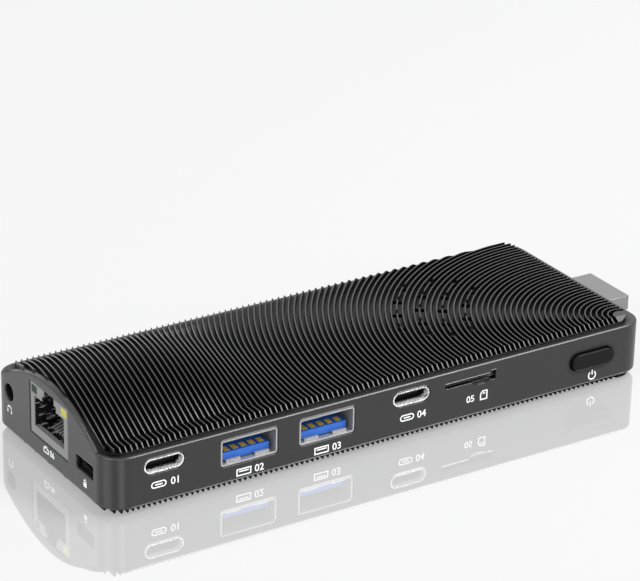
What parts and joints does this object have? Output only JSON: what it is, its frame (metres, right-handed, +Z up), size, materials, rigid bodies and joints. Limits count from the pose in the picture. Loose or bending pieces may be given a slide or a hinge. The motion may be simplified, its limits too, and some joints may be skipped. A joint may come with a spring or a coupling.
{
  "type": "hdmi stick computer",
  "caption": "Pocket-size computer in a finned, vented case with sockets on two sides and a video plug on the other short side.",
  "frame": {"origin": "under the middle of the whole object, plug included, at the tips of the bottom fins", "axes": "+X along the case towards the video plug, +Y away from the long side with the sockets, +Z up"},
  "size_m": [0.1402, 0.0503, 0.0194],
  "materials": {
    "housing": "fine matte, satin on the fin crests",
    "cover": "fine matte",
    "collar": "satin",
    "button": "satin black",
    "black_plastic": "matte",
    "board": "green board lacquer",
    "board_dark": "dark board lacquer",
    "steel": "satin",
    "die": "polished",
    "pad": "soft",
    "aluminium": "satin",
    "brass": "plain",
    "chip": "matte black",
    "ceramic": "fired ceramic",
    "antenna": "printed film",
    "lead": "smooth jacket",
    "jack_lining": "black, with bright spring leaves",
    "jack": "satin, light grey",
    "green_light": "clear, tinted",
    "yellow_light": "clear, tinted",
    "gold": "gold plate",
    "shell": "satin plate",
    "blue_plastic": "plain blue",
    "bright_shell": "bright plate",
    "plug_metal": "satin, dark"
  },
  "bodies": {
    "case": {"upper_housing": "housing", "bottom_cover": "cover", "plug_collar": "collar", "switch_body": "black_plastic", "main_board": "board", "board_screws": "steel", "processor_package": "board_dark", "processor_die": "die", "thermal_pad": "pad", "heat_sink": "aluminium", "heat_sink_standoffs": "brass", "heat_sink_screws": "steel", "memory_chips": "chip", "storage_chip": "chip", "power_inductors": "chip", "power_chip": "chip", "firmware_chip": "chip", "network_transformer": "chip", "ceramic_capacitors": "ceramic", "clock_battery": "steel", "battery_clip": "steel", "wireless_module": "board_dark", "wireless_shield": "steel", "antenna_1": "antenna", "antenna_2": "antenna", "antenna_lead_1": "lead", "antenna_lead_2": "lead", "network_jack_body": "jack_lining", "network_jack_shell": "jack", "network_link_light": "green_light", "network_activity_light": "yellow_light", "network_jack_contacts": "shell", "audio_jack_body": "black_plastic", "audio_jack_contacts": "gold", "lock_plate": "steel", "wide_socket_shell_1": "shell", "wide_socket_shell_2": "shell", "wide_socket_tongue_1": "blue_plastic", "wide_socket_tongue_2": "blue_plastic", "wide_socket_contacts_1": "gold", "wide_socket_contacts_2": "gold", "oval_socket_shell_1": "bright_shell", "oval_socket_shell_2": "bright_shell", "oval_socket_tongue_1": "black_plastic", "oval_socket_tongue_2": "black_plastic", "oval_socket_contacts_1": "gold", "oval_socket_contacts_2": "gold", "card_socket_base": "black_plastic", "card_socket_shell": "shell", "card_contacts": "gold", "plug_shell": "plug_metal", "plug_insulator": "black_plastic", "plug_contacts": "gold"},
    "power_button": {"power_button_cap": "button", "switch_plunger": "black_plastic"},
    "card_tray": {"card_slider": "black_plastic"}
  },
  "joints": [
    {"name": "power_button_press", "type": "slide", "parent": "case", "child": "power_button", "axis": [0, 1, 0], "range_m": [0, 0.0005], "stiffness_N_per_m": 900, "springref_m": -0.0004},
    {"name": "card_slider_push", "type": "slide", "parent": "case", "child": "card_tray", "axis": [0, 1, 0], "range_m": [0, 0.0012], "stiffness_N_per_m": 300, "springref_m": -0.0004}
  ]
}
